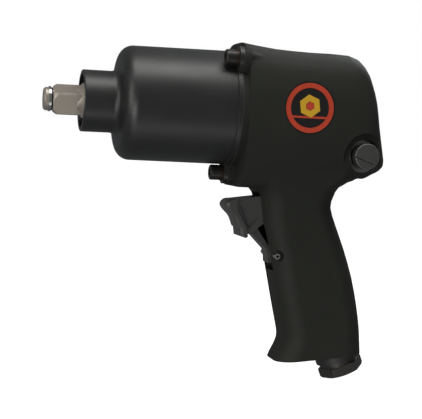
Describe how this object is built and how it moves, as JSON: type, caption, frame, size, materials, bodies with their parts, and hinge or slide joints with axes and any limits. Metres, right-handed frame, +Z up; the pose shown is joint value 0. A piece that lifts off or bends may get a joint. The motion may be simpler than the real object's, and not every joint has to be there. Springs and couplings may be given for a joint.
{
  "type": "pneumatic impact wrench",
  "caption": "Pistol-grip pneumatic impact wrench with a square drive anvil, round hammer case, lever trigger, push-through reverse valve with power dial, and a bottom air inlet.",
  "frame": {"origin": "centre of the hammer case's nose face, on the drive axis", "axes": "+X forward along the drive axis out of the anvil, +Z up, +Y to the tool's left, the side with the power dial and badge"},
  "size_m": [0.1896, 0.065, 0.1873],
  "materials": {
    "housing_black": "matte sprayed",
    "case_black": "semi-gloss enamel",
    "gasket_fibre": "pressed fibre",
    "black_oxide": "oxide",
    "washer_steel": "copper coloured phosphate",
    "anvil_steel": "ground and tempered",
    "ring_steel": "polished",
    "seal_rubber": "satin",
    "bushing_bronze": "oiled",
    "tool_steel": "ground",
    "cylinder_iron": "honed",
    "vane_phenolic": "phenolic laminate",
    "bearing_steel": "polished",
    "trigger_satin": "satin",
    "pin_steel": "bright",
    "spring_steel": "wire",
    "knob_steel": "satin turned",
    "inlet_steel": "dark phosphate",
    "deflector_black": "moulded",
    "badge_print": "printed"
  },
  "bodies": {
    "tool": {"motor_housing": "housing_black", "hammer_case": "case_black", "case_gasket": "gasket_fibre", "case_screws": "black_oxide", "lock_washers": "washer_steel", "anvil_bushing": "bushing_bronze", "front_end_plate": "cylinder_iron", "motor_cylinder": "cylinder_iron", "rear_end_plate": "cylinder_iron", "liner_dowel": "pin_steel", "front_outer_race": "bearing_steel", "rear_outer_race": "bearing_steel", "name_badge": "badge_print", "trigger_pin": "pin_steel", "throttle_seat": "bushing_bronze", "valve_bushing": "tool_steel", "inlet_bushing": "inlet_steel", "inlet_screen": "bearing_steel", "deflector_ring": "seal_rubber", "throttle_spring": "spring_steel"},
    "motor_rotor": {"rotor": "tool_steel", "front_inner_race": "bearing_steel", "rear_inner_race": "bearing_steel", "hammer_frame": "tool_steel", "hammer_pins": "bearing_steel"},
    "front_balls": {"front_bearing_balls": "bearing_steel"},
    "rear_balls": {"rear_bearing_balls": "bearing_steel"},
    "front_hammer": {"hammer_front": "tool_steel"},
    "rear_hammer": {"hammer_rear": "tool_steel"},
    "output": {"anvil": "anvil_steel", "socket_ring": "ring_steel", "socket_oring": "seal_rubber"},
    "trigger": {"trigger": "trigger_satin"},
    "throttle": {"throttle_plunger": "pin_steel", "throttle_seal": "seal_rubber"},
    "spool": {"reverse_spool": "tool_steel", "reverse_button": "knob_steel"},
    "regulator": {"regulator_knob": "knob_steel"},
    "deflector": {"exhaust_deflector": "deflector_black"},
    "vane_1": {"vane_1": "vane_phenolic"},
    "vane_2": {"vane_2": "vane_phenolic"},
    "vane_3": {"vane_3": "vane_phenolic"},
    "vane_4": {"vane_4": "vane_phenolic"},
    "vane_5": {"vane_5": "vane_phenolic"},
    "vane_6": {"vane_6": "vane_phenolic"}
  },
  "joints": [
    {"name": "rotor_spin", "type": "hinge", "parent": "tool", "child": "motor_rotor", "pos_m": [-0.11, 0, 0], "axis": [1, 0, 0], "continuous": true},
    {"name": "front_balls_spin", "type": "hinge", "parent": "tool", "child": "front_balls", "pos_m": [-0.0865, 0, 0], "axis": [1, 0, 0], "continuous": true},
    {"name": "rear_balls_spin", "type": "hinge", "parent": "tool", "child": "rear_balls", "pos_m": [-0.1361, 0, 0], "axis": [1, 0, 0], "continuous": true},
    {"name": "anvil_spin", "type": "hinge", "parent": "tool", "child": "output", "pos_m": [0, 0, 0], "axis": [1, 0, 0], "continuous": true},
    {"name": "front_hammer_swing", "type": "hinge", "parent": "motor_rotor", "child": "front_hammer", "pos_m": [-0.0391, 0, 0.0206], "axis": [1, 0, 0], "range_deg": [-3.5, 3.5]},
    {"name": "rear_hammer_swing", "type": "hinge", "parent": "motor_rotor", "child": "rear_hammer", "pos_m": [-0.0539, 0, -0.0206], "axis": [1, 0, 0], "range_deg": [-3.5, 3.5]},
    {"name": "trigger_pull", "type": "hinge", "parent": "tool", "child": "trigger", "pos_m": [-0.11, 0, -0.0807], "axis": [0, -1, 0], "range_deg": [0, 10], "stiffness_Nm_per_rad": 0.4, "springref_deg": -11.46},
    {"name": "throttle_open", "type": "slide", "parent": "tool", "child": "throttle", "axis": [-1, 0, 0], "range_m": [0, 0.0041], "deforming": ["throttle_spring"]},
    {"name": "reverse_shift", "type": "slide", "parent": "tool", "child": "spool", "axis": [0, -1, 0], "range_m": [0, 0.004]},
    {"name": "regulator_turn", "type": "hinge", "parent": "spool", "child": "regulator", "pos_m": [-0.1534, 0, -0.0234], "axis": [0, 1, 0], "range_deg": [0, 120]},
    {"name": "deflector_turn", "type": "hinge", "parent": "tool", "child": "deflector", "pos_m": [-0.1542, 0, -0.142], "axis": [-0.3746, 0, -0.9272], "continuous": true},
    {"name": "vane_1_slide", "type": "slide", "parent": "motor_rotor", "child": "vane_1", "axis": [0, 1, 0], "range_m": [0, 0.0026]},
    {"name": "vane_2_slide", "type": "slide", "parent": "motor_rotor", "child": "vane_2", "axis": [0, 0.5, 0.866], "range_m": [0, 0.0006]},
    {"name": "vane_3_slide", "type": "slide", "parent": "motor_rotor", "child": "vane_3", "axis": [0, -0.5, 0.866], "range_m": [0, 0.0006]},
    {"name": "vane_4_slide", "type": "slide", "parent": "motor_rotor", "child": "vane_4", "axis": [0, -1, 0], "range_m": [0, 0.0026]},
    {"name": "vane_5_slide", "type": "slide", "parent": "motor_rotor", "child": "vane_5", "axis": [0, -0.5, -0.866], "range_m": [0, 0.0006]},
    {"name": "vane_6_slide", "type": "slide", "parent": "motor_rotor", "child": "vane_6", "axis": [0, 0.5, -0.866], "range_m": [0, 0.0006]}
  ],
  "couplings": [
    {"joint": "throttle_open", "follows": "trigger_pull", "m_per_rad": 0.0232},
    {"joint": "front_balls_spin", "follows": "rotor_spin", "ratio": 0.401},
    {"joint": "rear_balls_spin", "follows": "rotor_spin", "ratio": 0.401}
  ]
}
